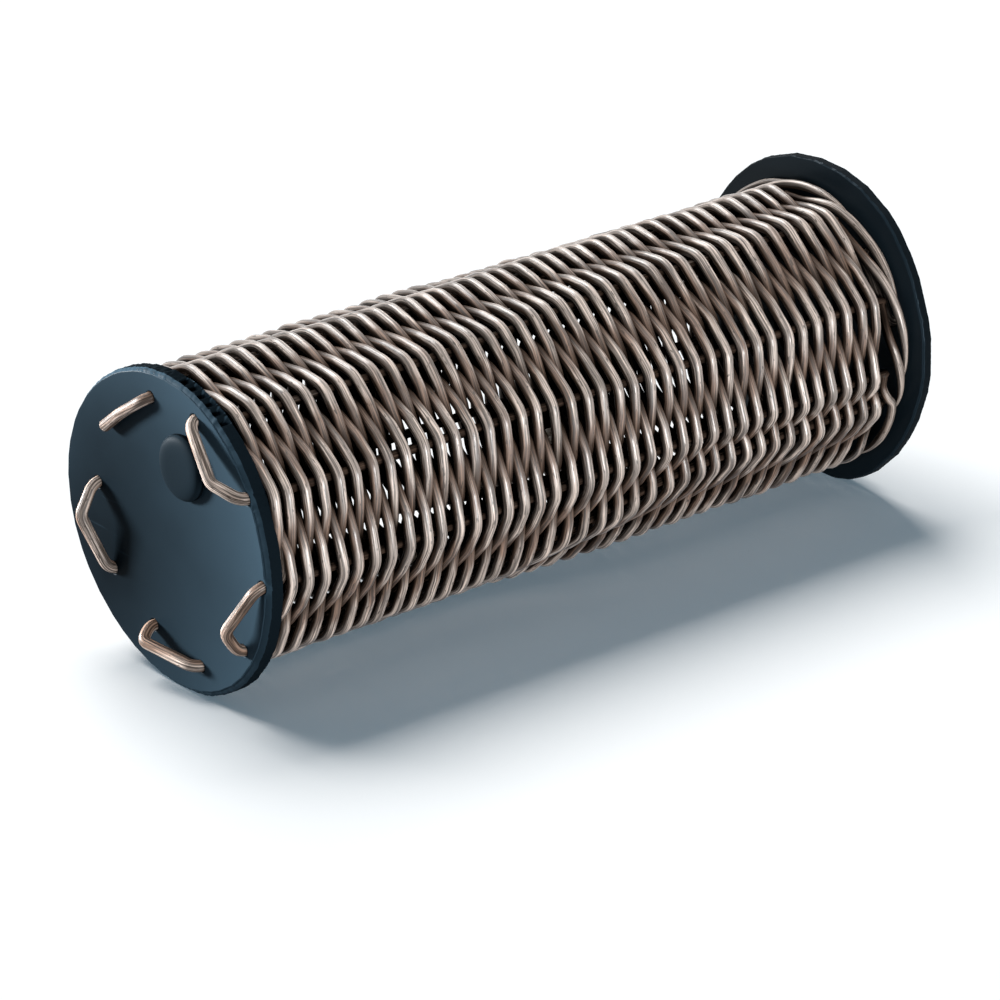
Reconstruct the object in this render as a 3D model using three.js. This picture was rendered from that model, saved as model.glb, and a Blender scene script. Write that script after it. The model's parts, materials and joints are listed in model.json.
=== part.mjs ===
import * as THREE from "three";

// Caxixi: a shaker woven from rattan cane round straight stakes, closed by two black discs that are
// laced on, with loose seeds inside. It lies on the rims of its discs.
// Millimetres, +Z up, floor at z = 0. X runs along the tube, from the front disc (-X) to the rear disc.
// Angles go round the tube from +Y towards +Z, in degrees.

// Tube and discs
const overallLength = 222; // between the outer faces of the discs
const tubeRadius = 40.4; // outside of the weave
const frontDiscThickness = 4.9;
const rearDiscThickness = 3.2;
const frontDiscOverhang = 1.7; // mean of the hand-cut rim, beyond the weave
const rearDiscOverhang = 5.4;
const floorFlat = 0.6; // depth of the flat on which each disc lies

// Hand-cut outlines as waves on a circle: [waves in a turn, height, angle of a crest]
const frontDiscWaves = [[1, 2.9, 318], [2, 0.9, 50], [3, 0.55, 118]];
const rearDiscWaves = [[1, 0.6, 88], [2, 0.6, 111], [3, 0.4, 113], [6, 0.25, 2]];

// Cane and its clearances
const weaverDiameter = 2.2;
const stakeDiameter = 2.4;
const laceDiameter = 2.7;
const rowGap = 0.45; // between neighbouring rows of the weave
const weaveClearance = 0.2; // least gap between a weaver and a stake
const seatClearance = 0.35; // between other pieces that lie on one another
const elbowLength = 3; // flat of a weaver where it goes over a stake
const buttGap = 0.5; // between the ends of two lengths of weaver
const weaverLengths = 12;
const stakeAngle = 119; // where one of the stakes lies
const stakeBend = 1.5; // size of the bend from a stake into its border tail
const laceBend = 1.4; // size of the bends in the lacing
const bendShare = 0.45; // most of a straight run that a bend takes

// Rear border: the tail of each stake is laid round over the next, climbing to the rear disc.
// Its points are [stakes onward, rise off the circle of stakes, share of the climb].
const borderClimb = 8;
const borderTail = [
  [0.07, 0, 0],
  [0.45, 0.5, 0.02],
  [0.65, 1.5, 0.14],
  [0.93, 2.6, 0.5],
  [1.2, 3, 0.68],
  [1.5, 3, 0.84],
  [1.8, 2.6, 0.95],
  [2.05, 1.2, 1],
  [2.25, 0, 1],
];

// Lacing: each stitch comes out at one hole, goes over a high point and in at the next. The first one
// has its end on the face of the disc instead of an out hole.
// Holes are [angle, distance from the rim], high points [angle, distance from the rim, lift].
const frontStitches = [
  { out: [38.4, 11.1], over: [54, 10.8, 0], back: [77, 7.3] },
  { out: [107.9, 5.7], over: [138, 7.5, 3.2], back: [150, 2.6] },
  { out: [186, 2.8], over: [214, 9.6, 3], back: [220, 5.7] },
  { out: [253, 8], over: [283, 10.2, 3], back: [286, 12.6] },
  { out: [322, 11.6], over: [350, 13.4, 4.5], back: [364, 13.4] },
];
const rearStitchCount = 5;
const rearStitchSpan = 38; // degrees from hole to hole
const rearStitchStart = 20;
const rearStitchLift = 1;
const laceEndSpare = 8; // degrees between the inner end of the lacing and its outer end

// Fill plug in the front disc
const plugAngle = 108.7;
const plugOffset = 19.4; // from the tube's axis
const plugCapDiameter = 17.4;
const plugCapEdge = 1; // height of the cap's upright edge
const plugCapRise = 1.4; // of the dome above that edge
const plugCapFlatness = 0.35; // power of the dome's outline: 1 is an ellipse, less is flatter
const plugStemDiameter = 11;
const plugClearance = 0.3;

// Seeds, each in a lane of its own along the bottom of the tube, near its place along X
const seedDiameter = 5;
const seedLength = 6;
const seedPlaces = [-58, 22, -9, 47, -34, 71, -79, 6, 34];
const lanesPerStake = 3;

// Facets
const weaverSides = 5;
const stakeSides = 6;
const laceSides = 6;
const outlineSteps = 72;
const holeSides = 10;
const plugSides = 28;
const domeSteps = 5;
const seedSides = 10;
const seedRings = 6;

// Stations along X, each measured from the middle of the tube
const outerFace = overallLength / 2;
const laceSpare = seatClearance + laceDiameter / 2;
const laceStandoff = outerFace + laceSpare;
const frontLaceInside = outerFace - frontDiscThickness - laceSpare;
const stakeFrontEnd = frontLaceInside - laceSpare;
const weaveFront = stakeFrontEnd - weaverDiameter / 2;
const rearInnerFace = outerFace - rearDiscThickness;
const rearLaceInside = rearInnerFace - laceSpare;
const borderHigh = rearInnerFace - seatClearance - stakeDiameter / 2;
const borderLow = borderHigh - borderClimb;
const weaveRear = borderLow - (stakeDiameter + weaverDiameter) / 2 - seatClearance;
const seedSpare = laceSpare + seedLength / 2; // from the middle of a lace to that of a seed

// The weaver runs straight from elbow to elbow, so the stake between two elbows passes outside it.
// There are as many stakes, an odd number, as leave the stakes room between the two.
const elbowRadius = tubeRadius - weaverDiameter / 2;
const elbowAngle = Math.asin(elbowLength / 2 / elbowRadius);
const weaveDepth = (count) =>
  (elbowRadius * (Math.cos(elbowAngle) - Math.cos((2 * Math.PI) / count - elbowAngle))) / 2;
const depthNeeded = (weaverDiameter + stakeDiameter) / 2 + weaveClearance;
let stakeCount = 3;
while (weaveDepth(stakeCount + 2) >= depthNeeded) stakeCount += 2;
const stakePitch = (2 * Math.PI) / stakeCount;
const stakeRadius = elbowRadius * Math.cos(elbowAngle) - weaveDepth(stakeCount);
const innerChord = elbowRadius * Math.cos(stakePitch - elbowAngle);

// One step of the weaver goes from a stake to the next
const stepAdvance = (weaverDiameter + rowGap) / stakeCount;
const weaveSteps = (weaveFront + weaveRear) / stepAdvance;
const lengthSteps = 2 * Math.floor(weaveSteps / weaverLengths / 2);

const radians = THREE.MathUtils.degToRad;

// Height of a hand-cut rim from the tube's axis
function rimRadius(overhang, waves, angle) {
  return waves.reduce(
    (sum, [count, height, crest]) => sum + height * Math.cos(count * (angle - radians(crest))),
    tubeRadius + overhang,
  );
}
const frontRim = (angle) => rimRadius(frontDiscOverhang, frontDiscWaves, angle);
const rearRim = (angle) => rimRadius(rearDiscOverhang, rearDiscWaves, angle);
const axisHeight = Math.min(frontRim(radians(270)), rearRim(radians(270))) - floorFlat;

// Everything is placed from the tube's axis, in a group at the axis' height
const tube = new THREE.Group();
tube.position.z = axisHeight;

const black = { color: 0x2a3036, roughness: 0.45, metalness: 0 };
const cane = { color: 0x9a8472, roughness: 0.5, metalness: 0 };
const seedCoat = { color: 0x8a8378, roughness: 0.35, metalness: 0 };

function addMesh(name, geometry, look) {
  const mesh = new THREE.Mesh(geometry, new THREE.MeshStandardMaterial(look));
  mesh.name = name;
  tube.add(mesh);
  return mesh;
}

const numbered = (name, k) => `${name}_${String(k + 1).padStart(2, "0")}`;

const around = (angle, radius, x) =>
  new THREE.Vector3(x, radius * Math.cos(angle), radius * Math.sin(angle));

// Round cane of the given diameter along a path, closed at both ends
function caneGeometry(path, diameter, sides) {
  const tangents = path.map((point, i) => {
    const before = path[Math.max(i - 1, 0)];
    const after = path[Math.min(i + 1, path.length - 1)];
    const arriving = point.clone().sub(before).normalize();
    const leaving = after.clone().sub(point).normalize();
    return arriving.add(leaving).normalize();
  });
  const startsAlongX = Math.abs(tangents[0].x) > Math.abs(tangents[0].z);
  const normal = startsAlongX ? new THREE.Vector3(0, 0, 1) : new THREE.Vector3(1, 0, 0);
  normal.addScaledVector(tangents[0], -normal.dot(tangents[0])).normalize();
  const positions = [];
  const turn = new THREE.Quaternion();
  path.forEach((point, i) => {
    if (i > 0) normal.applyQuaternion(turn.setFromUnitVectors(tangents[i - 1], tangents[i]));
    const side = tangents[i].clone().cross(normal);
    for (let k = 0; k < sides; k += 1) {
      const angle = (2 * Math.PI * k) / sides;
      const spoke = normal.clone().multiplyScalar(Math.cos(angle));
      spoke.addScaledVector(side, Math.sin(angle)).multiplyScalar(diameter / 2);
      positions.push(...spoke.add(point).toArray());
    }
  });
  const faces = [];
  for (let i = 0; i + 1 < path.length; i += 1) {
    for (let k = 0; k < sides; k += 1) {
      const a = i * sides + k;
      const b = i * sides + ((k + 1) % sides);
      faces.push(a, b, b + sides, a, b + sides, a + sides);
    }
  }
  const end = (path.length - 1) * sides;
  for (let k = 1; k + 1 < sides; k += 1) {
    faces.push(0, k + 1, k);
    faces.push(end, end + k, end + k + 1);
  }
  const geometry = new THREE.BufferGeometry();
  geometry.setAttribute("position", new THREE.Float32BufferAttribute(positions, 3));
  geometry.setIndex(faces);
  geometry.computeVertexNormals();
  return geometry;
}

// Path with each corner cut back on both sides, so that the cane bends in two steps
function softened(points, bend) {
  const path = [points[0]];
  for (let i = 1; i + 1 < points.length; i += 1) {
    for (const neighbour of [points[i - 1], points[i + 1]]) {
      const share = Math.min(bendShare, bend / points[i].distanceTo(neighbour));
      path.push(points[i].clone().lerp(neighbour, share));
    }
  }
  path.push(points[points.length - 1]);
  return path;
}

// Discs
function circle([y, z], diameter, sides) {
  return Array.from({ length: sides }, (_, k) => {
    const angle = (2 * Math.PI * k) / sides;
    const reach = diameter / 2;
    return new THREE.Vector2(y + reach * Math.cos(angle), z + reach * Math.sin(angle));
  });
}

const polar = (angle, radius) => [radius * Math.cos(angle), radius * Math.sin(angle)];

function addDisc(name, rim, startX, depth, holes) {
  const outline = Array.from({ length: outlineSteps }, (_, k) => {
    const angle = (2 * Math.PI * k) / outlineSteps;
    const [y, z] = polar(angle, rim(angle));
    return new THREE.Vector2(y, Math.max(z, -axisHeight));
  });
  const shape = new THREE.Shape(outline);
  shape.holes = holes.map((points) => new THREE.Path(points));
  const options = { depth, bevelEnabled: false };
  const mesh = addMesh(name, new THREE.ExtrudeGeometry(shape, options), black);
  // The shape's own x, y and depth become Y, Z and X
  mesh.quaternion.setFromAxisAngle(new THREE.Vector3(1, 1, 1).normalize(), (2 * Math.PI) / 3);
  mesh.position.x = startX;
}

// The rear lacing runs on a circle just inside the border
const rearLaceRadius = stakeRadius - (stakeDiameter + laceDiameter) / 2 - seatClearance;
const rearStitches = Array.from({ length: rearStitchCount }, (_, k) => {
  const out = rearStitchStart + (360 * k) / rearStitchCount;
  return {
    out: [out, 0],
    over: [out + rearStitchSpan / 2, 0, rearStitchLift],
    back: [out + rearStitchSpan, 0],
  };
});

const frontSpot = ([degrees, edge]) => [radians(degrees), frontRim(radians(degrees)) - edge];
const rearSpot = ([degrees]) => [radians(degrees), rearLaceRadius];

function laceHoles(spot, stitches) {
  const places = stitches.flatMap((stitch) => [stitch.out, stitch.back]).slice(1);
  const holeDiameter = laceDiameter + 2 * seatClearance;
  return places.map((place) => circle(polar(...spot(place)), holeDiameter, holeSides));
}

const plugPlace = polar(radians(plugAngle), plugOffset);
const plugHole = circle(plugPlace, plugStemDiameter + 2 * plugClearance, plugSides);
const frontHoles = [...laceHoles(frontSpot, frontStitches), plugHole];
addDisc("front_disc", frontRim, -outerFace, frontDiscThickness, frontHoles);
const rearHoles = laceHoles(rearSpot, rearStitches);
addDisc("rear_disc", rearRim, rearInnerFace, rearDiscThickness, rearHoles);

// Fill plug: a domed cap on a stem that fills the hole through the front disc
function addPlug() {
  const cap = plugCapDiameter / 2;
  const stem = plugStemDiameter / 2;
  const profile = [[0, -frontDiscThickness], [stem, -frontDiscThickness]];
  profile.push([stem, plugClearance], [cap, plugClearance]);
  for (let k = 0; k <= domeSteps; k += 1) {
    const angle = (Math.PI / 2) * (k / domeSteps);
    const height = plugClearance + plugCapEdge + plugCapRise * Math.sin(angle);
    profile.push([k === domeSteps ? 0 : cap * Math.cos(angle) ** plugCapFlatness, height]);
  }
  const points = profile.map(([x, y]) => new THREE.Vector2(x, y));
  const mesh = addMesh("fill_plug", new THREE.LatheGeometry(points, plugSides), black);
  mesh.rotation.z = Math.PI / 2;
  mesh.position.set(-outerFace, ...plugPlace);
}
addPlug();

// Lacing: one strand for each disc, from its outer face in and out through its holes to the inside
function addLacing(name, side, laceInside, spot, stitches) {
  const at = (place, x) => around(...spot(place), side * x);
  const points = [];
  stitches.forEach(({ out, over, back }, k) => {
    if (k > 0) points.push(at(out, laceInside));
    points.push(at(out, laceStandoff), at(over, laceStandoff + over[2]));
    points.push(at(back, laceStandoff), at(back, laceInside));
    const last = k + 1 === stitches.length;
    const [toDegrees, toEdge] = last ? stitches[0].out : stitches[k + 1].out;
    const target = last ? toDegrees + 360 - laceEndSpare : toDegrees;
    const shares = last ? [1 / 3, 2 / 3, 1] : [1 / 3, 2 / 3];
    for (const share of shares) {
      const degrees = THREE.MathUtils.lerp(back[0], target, share);
      const edge = THREE.MathUtils.lerp(back[1], toEdge, share);
      points.push(at([degrees, edge], laceInside));
    }
  });
  addMesh(name, caneGeometry(softened(points, laceBend), laceDiameter, laceSides), cane);
}
addLacing("front_lacing", -1, frontLaceInside, frontSpot, frontStitches);
addLacing("rear_lacing", 1, rearLaceInside, rearSpot, rearStitches);

// Stakes: straight along the tube from the front, with the rear end laid round into the border
const stakeAt = (step) => radians(stakeAngle) + step * stakePitch;

function stakePath(stake) {
  const front = around(stakeAt(stake), stakeRadius, -stakeFrontEnd);
  const bend = around(stakeAt(stake), stakeRadius, borderLow - stakeBend);
  const tail = borderTail.map(([onward, rise, climb]) =>
    around(stakeAt(stake + onward), stakeRadius + rise, borderLow + climb * borderClimb),
  );
  return [front, bend, ...tail];
}

for (let stake = 0; stake < stakeCount; stake += 1) {
  const geometry = caneGeometry(stakePath(stake), stakeDiameter, stakeSides);
  addMesh(numbered("stake", stake), geometry, cane);
}

// Weaver: over one stake and behind the next, in lengths that meet behind a stake
const stepX = (step) => -weaveFront + step * stepAdvance;

function elbow(step) {
  const half = (elbowAngle / stakePitch) * stepAdvance;
  return [-1, 1].map((way) =>
    around(stakeAt(step) + way * elbowAngle, elbowRadius, stepX(step) + way * half),
  );
}

function weaverPath(first) {
  const last = first + lengthSteps;
  const path = [around(stakeAt(first), innerChord, stepX(first))];
  for (let step = first + 1; step < last; step += 2) path.push(...elbow(step));
  path.push(around(stakeAt(last), innerChord, stepX(last)));
  for (const [end, next] of [[0, 1], [-1, -2]]) {
    const span = path.at(end).distanceTo(path.at(next));
    path.at(end).lerp(path.at(next), buttGap / 2 / span);
  }
  return path;
}

// Least gap between the turns of a length of weaver, measured between points along its path
function leastSelfGap(path) {
  const pointsPerSpan = 8;
  const turnSpans = stakeCount - 2;
  const spansCompared = 4;
  const samples = [];
  path.slice(1).forEach((point, i) => {
    for (let k = 0; k < pointsPerSpan; k += 1) {
      samples.push(path[i].clone().lerp(point, k / pointsPerSpan));
    }
  });
  let least = Infinity;
  samples.forEach((point, i) => {
    const nearTurn = i + turnSpans * pointsPerSpan;
    const farTurn = nearTurn + spansCompared * pointsPerSpan;
    for (const other of samples.slice(nearTurn, farTurn)) {
      least = Math.min(least, point.distanceTo(other));
    }
  });
  return least - weaverDiameter;
}

for (let length = 0; length < weaverLengths; length += 1) {
  const path = weaverPath(length * lengthSteps);
  const name = numbered("weaver", length);
  addMesh(name, caneGeometry(path, weaverDiameter, weaverSides), cane);
  console.log(`${name}: least gap between turns ${leastSelfGap(path).toFixed(2)} mm`);
}

// Seeds: a lane's depth is where a seed first comes to rest on the weave
function laneRadius(angle) {
  const clear = (seedDiameter + weaverDiameter) / 2 + seatClearance;
  const spans = Array.from({ length: 2 * stakeCount }, (_, step) => {
    const from = polar(stakeAt(step) + elbowAngle, elbowRadius);
    const to = polar(stakeAt(step + 2) - elbowAngle, elbowRadius);
    return [new THREE.Vector3(...from, 0), new THREE.Vector3(...to, 0)];
  });
  const line = new THREE.Line3();
  const foot = new THREE.Vector3();
  const room = (radius) => {
    const centre = new THREE.Vector3(...polar(angle, radius), 0);
    const reaches = spans.map(([from, to]) => {
      line.set(from, to).closestPointToPoint(centre, true, foot);
      return foot.distanceTo(centre);
    });
    return Math.min(...reaches) - clear;
  };
  const tolerance = 0.001;
  let low = 0;
  let high = innerChord;
  while (high - low > tolerance) {
    const middle = (low + high) / 2;
    if (room(middle) > 0) low = middle;
    else high = middle;
  }
  return low;
}

// Where the weaver passes behind the stake nearest to a lane, close to a place along X
function seatX(lane, place) {
  const oddStake = Math.round(lane) % 2;
  const turns = ((place + weaveFront) / stepAdvance - lane) / stakeCount;
  return stepX(lane + stakeCount * (2 * Math.round((turns - oddStake) / 2) + oddStake));
}

function addSeeds() {
  const bottom = (radians(270) - stakeAt(0)) / stakePitch;
  const middleLane = Math.round(bottom * lanesPerStake);
  const middleSeed = Math.floor(seedPlaces.length / 2);
  seedPlaces.forEach((place, k) => {
    const lane = (middleLane + k - middleSeed) / lanesPerStake;
    const x = seatX(lane, place);
    const geometry = new THREE.SphereGeometry(seedDiameter / 2, seedSides, seedRings);
    geometry.scale(seedLength / seedDiameter, 1, 1);
    const mesh = addMesh(`seed_${k + 1}`, geometry, seedCoat);
    mesh.position.copy(around(stakeAt(lane), laneRadius(stakeAt(lane)), x));
    const back = seedSpare - frontLaceInside - x;
    const ahead = rearLaceInside - seedSpare - x;
    console.log(`${mesh.name}: slides from ${back.toFixed(2)} to ${ahead.toFixed(2)} mm`);
  });
}
addSeeds();

// The origin lies on the floor, under the middle of the whole part
const caxixi = new THREE.Group();
caxixi.add(tube);
const middle = new THREE.Box3().setFromObject(caxixi, true).getCenter(new THREE.Vector3());
tube.position.x -= middle.x;
tube.position.y -= middle.y;
console.log(`${stakeCount} stakes, tube axis at ${tube.position.toArray().map((v) => v.toFixed(3))} mm`);

export default caxixi;
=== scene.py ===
"""Caxixi: a shaker woven from rattan cane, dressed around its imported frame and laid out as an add-on.

Metres, +Z up. X runs along the tube, from the front disc to the rear disc.
Angles go round the tube from +Y towards +Z.
"""

import json
import math
import random
from itertools import accumulate

import bmesh
import bpy
from bpy.props import FloatProperty, FloatVectorProperty, PointerProperty
from mathutils import Matrix, Vector, noise

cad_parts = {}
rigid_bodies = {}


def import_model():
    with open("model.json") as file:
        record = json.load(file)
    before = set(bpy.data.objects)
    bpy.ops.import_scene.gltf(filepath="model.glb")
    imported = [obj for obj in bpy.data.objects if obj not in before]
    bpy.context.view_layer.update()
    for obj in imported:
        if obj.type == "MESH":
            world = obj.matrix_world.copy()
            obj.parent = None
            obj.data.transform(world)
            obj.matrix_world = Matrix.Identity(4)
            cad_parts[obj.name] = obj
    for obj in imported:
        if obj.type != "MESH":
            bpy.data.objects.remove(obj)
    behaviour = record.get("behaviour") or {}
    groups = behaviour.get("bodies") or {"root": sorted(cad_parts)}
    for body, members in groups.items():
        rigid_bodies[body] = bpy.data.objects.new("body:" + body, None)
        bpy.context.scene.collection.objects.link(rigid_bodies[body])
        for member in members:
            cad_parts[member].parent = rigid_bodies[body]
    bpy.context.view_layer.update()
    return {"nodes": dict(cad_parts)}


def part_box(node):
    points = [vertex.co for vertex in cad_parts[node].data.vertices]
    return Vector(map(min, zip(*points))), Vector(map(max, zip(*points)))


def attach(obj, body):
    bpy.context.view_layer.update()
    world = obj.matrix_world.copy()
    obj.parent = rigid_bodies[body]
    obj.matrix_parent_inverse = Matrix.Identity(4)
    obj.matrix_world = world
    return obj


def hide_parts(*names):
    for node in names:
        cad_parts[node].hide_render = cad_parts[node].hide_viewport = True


bl_info = {
    "name": "Caxixi",
    "version": (1, 0, 0),
    "blender": (4, 5, 0),
    "location": "3D View > Sidebar > Caxixi",
    "description": "Weaves, closes and fills a rattan tube shaker around its packed frame",
    "category": "Object",
}

MM = 0.001
SHELL = "shaker"

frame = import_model()

# Facts taken from the frame


def names_of(prefix):
    return sorted(name for name in frame["nodes"] if name.startswith(prefix))


def front_end(name):
    """Middle of a stake's front end."""
    verts = frame["nodes"][name].data.vertices
    corners = {tuple(round(value, 6) for value in vert.co) for vert in verts}
    front = min(corner[0] for corner in corners)
    ends = [Vector(corner) for corner in corners if corner[0] < front + 0.01 * MM]
    return sum(ends, Vector()) / len(ends)


STAKES = names_of("stake_")
WEAVERS = names_of("weaver_")
SEEDS = names_of("seed_")
STAKE_ENDS = [front_end(name) for name in STAKES]
AXIS = sum(STAKE_ENDS, Vector()) / len(STAKE_ENDS)
STAKE_RADIUS = (STAKE_ENDS[0] - AXIS).length
STAKE_PITCH = 2 * math.pi / len(STAKES)
FIRST_STAKE = math.atan2(STAKE_ENDS[0].z - AXIS.z, STAKE_ENDS[0].y - AXIS.y)
FIRST_STEP = -len(STAKES)

FRONT_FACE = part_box("front_disc")[0].x
FRONT_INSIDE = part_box("front_disc")[1].x
REAR_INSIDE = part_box("rear_disc")[0].x
REAR_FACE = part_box("rear_disc")[1].x
PLUG_LOW, PLUG_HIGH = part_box("fill_plug")

# Hand-cut outlines as waves on a circle: (waves in a turn, height in mm, angle of a crest in degrees)
FRONT_WAVES = [(1, 2.9, 318), (2, 0.9, 50), (3, 0.55, 118)]
REAR_WAVES = [(1, 0.6, 88), (2, 0.6, 111), (3, 0.4, 113), (6, 0.25, 2)]

# Front stitches, from hole to high point to hole: (angle in degrees, mm from the rim, lift in mm)
FRONT_STITCHES = [
    ((38.4, 11.1, 0), (54, 10.8, 0), (77, 7.3, 0)),
    ((107.9, 5.7, 0), (138, 7.5, 3.2), (150, 2.6, 0)),
    ((186, 2.8, 0), (214, 9.6, 3), (220, 5.7, 0)),
    ((253, 8, 0), (283, 10.2, 3), (286, 12.6, 0)),
    ((322, 11.6, 0), (350, 13.4, 4.5), (364, 13.4, 0)),
]

# Rear stitches: their number, the first one's angle and the angle from hole to hole, how far inside the
# circle of stakes their holes lie, and how far they stand out
REAR_STITCHES = 5
REAR_START = math.radians(20)
REAR_SPAN = math.radians(38)
REAR_INSET = 2.9 * MM
REAR_LIFT = 1 * MM

# Lacing: the angle between its inner and outer ends, its bends and how it looks
LACE_END_SPARE = math.radians(8)
LACE_BEND = 4 * MM
LACE_LOOK = {"tone": 0.01, "bright": 0.9, "contrast": 1.3, "shiny": 0.2}

# Space between a strand and the sheet beside it
SHEET_CLEARANCE = 0.1 * MM

# Fill plug: its stem and the hole for it, the gap under its cap, the cap's upright edge, and the power of
# the cap's outline, where 1 is an ellipse and less is flatter
PLUG_STEM = 11 * MM
PLUG_HOLE = 11.6 * MM
PLUG_SEAT = 0.15 * MM
PLUG_EDGE = 0.9 * MM
PLUG_FLATNESS = 0.35

# Tail of a stake in the rear border, which climbs from the last row to the rear disc:
# (stakes onward, rise off the circle of stakes in mm, share of the climb)
BORDER_TAIL = [
    (0.07, 0, 0),
    (0.35, 0.1, 0.01),
    (0.55, 1, 0.07),
    (0.72, 2, 0.22),
    (0.93, 2.7, 0.5),
    (1.2, 3, 0.68),
    (1.5, 3, 0.84),
    (1.8, 2.8, 0.96),
    (2.05, 2.3, 1),
    (2.15, 1.8, 1),
]

# Where along the tube the stakes change from their front angles to their rear ones
STRAY_FROM = -35 * MM
STRAY_TO = 40 * MM

# How far each stake strays from an even spacing, at its front and at its rear end, in degrees
STAKE_STRAYS = [
    (-1.5, -7.8), (-0.2, 1.4), (3, 0), (5.5, -18.2), (5.5, -16.4), (5.5, -16.3),
    (-5.4, -16.4), (-10, -10), (-1, -8.8), (-0.5, -6.6), (-1.3, -4.6),
]

# Turns pressed together at the rear of the tube, and how far a turn advances at the front and the rear,
# as a share of the pitch between them
LAST_TURNS = 2
FIRST_TURN_SHARE = 0.45
LAST_TURN_SHARE = 0.8

# Distances from the tube's axis between which strands turn from brown to pale: painted shade deeper in the
# weave and a painted highlight at the crests. Width of the painted shade that takes deep strands from near
# black to full colour
SHADE_TO_HIGHLIGHT_FROM = 37.6 * MM
SHADE_TO_HIGHLIGHT_TO = 40.6 * MM
PAINTED_SHADE_WIDTH = 2.7 * MM

# Distances from the middle of the tube between which the lacing goes from its painted shade inside the tube
# to its full colour
LACE_FULLY_SHADED = 107 * MM
LACE_UNSHADED = 110.5 * MM

# Size of a seed beside its node's, which leaves room for strands that are thicker than their nodes
SEED_SHARE = 0.92


class CaxixiCane(bpy.types.PropertyGroup):
    """Sizes and colours of the rattan cane"""

    weaver_diameter: FloatProperty(
        name="Weaver", description="Thickness of the woven strand",
        default=2.8 * MM, min=1 * MM, max=5 * MM, unit="LENGTH")
    stake_diameter: FloatProperty(
        name="Stake", description="Thickness of the stakes along the tube",
        default=2.5 * MM, min=1 * MM, max=5 * MM, unit="LENGTH")
    lace_diameter: FloatProperty(
        name="Lace", description="Thickness of the lacing of the discs",
        default=3.1 * MM, min=1 * MM, max=5 * MM, unit="LENGTH")
    row_pitch: FloatProperty(
        name="Row pitch", description="Distance from one row of the weave to the next",
        default=2.7 * MM, min=2 * MM, max=6 * MM, unit="LENGTH")
    first_row: FloatProperty(
        name="First row", description="First row's distance from the front disc",
        default=1.75 * MM, min=1 * MM, max=20 * MM, unit="LENGTH")
    over_radius: FloatProperty(
        name="Over", description="From the tube's axis to the middle of a strand that goes over a stake",
        default=39.4 * MM, min=20 * MM, max=80 * MM, unit="LENGTH")
    under_radius: FloatProperty(
        name="Under", description="From the tube's axis to the middle of a strand that goes behind a stake",
        default=33.8 * MM, min=20 * MM, max=80 * MM, unit="LENGTH")
    bend_radius: FloatProperty(
        name="Bend", description="Radius of a strand's bend over a stake",
        default=7 * MM, min=2 * MM, max=12 * MM, unit="LENGTH")
    turns: FloatProperty(
        name="Turns", description="Times that the weaver goes round the tube",
        default=77.1, min=20, max=150)
    wander: FloatProperty(
        name="Wander", description="How far the hand-woven rows stray along the tube",
        default=0.55 * MM, min=0, max=1 * MM, unit="LENGTH")
    pale: FloatVectorProperty(
        name="Pale cane", description="Colour of the cane where it is worn pale",
        default=(0.47, 0.385, 0.33), min=0, max=1, size=3, subtype="COLOR")
    brown: FloatVectorProperty(
        name="Brown cane", description="Colour of the cane where it is brown",
        default=(0.19, 0.122, 0.088), min=0, max=1, size=3, subtype="COLOR")
    streak: FloatVectorProperty(
        name="Streaks", description="Colour of the dark streaks and specks",
        default=(0.035, 0.024, 0.018), min=0, max=1, size=3, subtype="COLOR")


class CaxixiDiscs(bpy.types.PropertyGroup):
    """Sizes and colours of the discs and the plug"""

    front_radius: FloatProperty(
        name="Front disc", description="Mean radius of the front disc",
        default=42.1 * MM, min=20 * MM, max=90 * MM, unit="LENGTH")
    rear_radius: FloatProperty(
        name="Rear disc", description="Mean radius of the rear disc",
        default=45.8 * MM, min=20 * MM, max=90 * MM, unit="LENGTH")
    bevel: FloatProperty(
        name="Bevel", description="Width of the bevel round the front disc's face",
        default=1.7 * MM, min=0.2 * MM, max=4 * MM, unit="LENGTH")
    hole_diameter: FloatProperty(
        name="Lace hole", description="Width of the holes for the lacing",
        default=3.3 * MM, min=2 * MM, max=6 * MM, unit="LENGTH")
    black: FloatVectorProperty(
        name="Black", description="Colour of the discs",
        default=(0.0015, 0.0032, 0.0048), min=0, max=1, size=3, subtype="COLOR")
    # Colour of the scuffs, and also of the painted sheen and the painted bevel highlight
    scuff_and_sheen: FloatVectorProperty(
        name="Scuffs", description="Colour of the scuffed patches",
        default=(0.0228, 0.0416, 0.058), min=0, max=1, size=3, subtype="COLOR")


class CaxixiStage(bpy.types.PropertyGroup):
    """Floor, light and camera"""

    floor: FloatVectorProperty(
        name="Floor", description="Colour of the floor",
        default=(0.92, 0.9, 0.88), min=0, max=1, size=3, subtype="COLOR")
    back_power: FloatProperty(
        name="Back", description="Power of the softbox behind and above, in watts",
        default=1300, min=0, max=5000)
    room_strength: FloatProperty(
        name="Room", description="Strength of the light from all round", default=0.11, min=0, max=2)
    side_power: FloatProperty(
        name="Side", description="Power of the light on the near side, in watts",
        default=17.5, min=0, max=100)
    left_power: FloatProperty(
        name="Left", description="Power of the light on the front disc, in watts",
        default=67, min=0, max=100)
    camera_place: FloatVectorProperty(
        name="Camera", description="Place of the camera",
        default=(-0.81582, -0.96356, 0.56954), size=3, subtype="XYZ", unit="LENGTH")
    camera_lens: FloatProperty(
        name="Lens", description="Focal length of the camera in millimetres",
        default=187.3, min=20, max=500)
    camera_azimuth: FloatProperty(
        name="Azimuth", description="Angle of the view round the object",
        default=math.radians(319.8), subtype="ANGLE", unit="ROTATION")
    camera_elevation: FloatProperty(
        name="Elevation", description="Angle of the view above the floor",
        default=math.radians(23.52), subtype="ANGLE", unit="ROTATION")


# Places and paths


def around(angle, radius, x):
    return Vector((x, AXIS.y + radius * math.cos(angle), AXIS.z + radius * math.sin(angle)))


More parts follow.
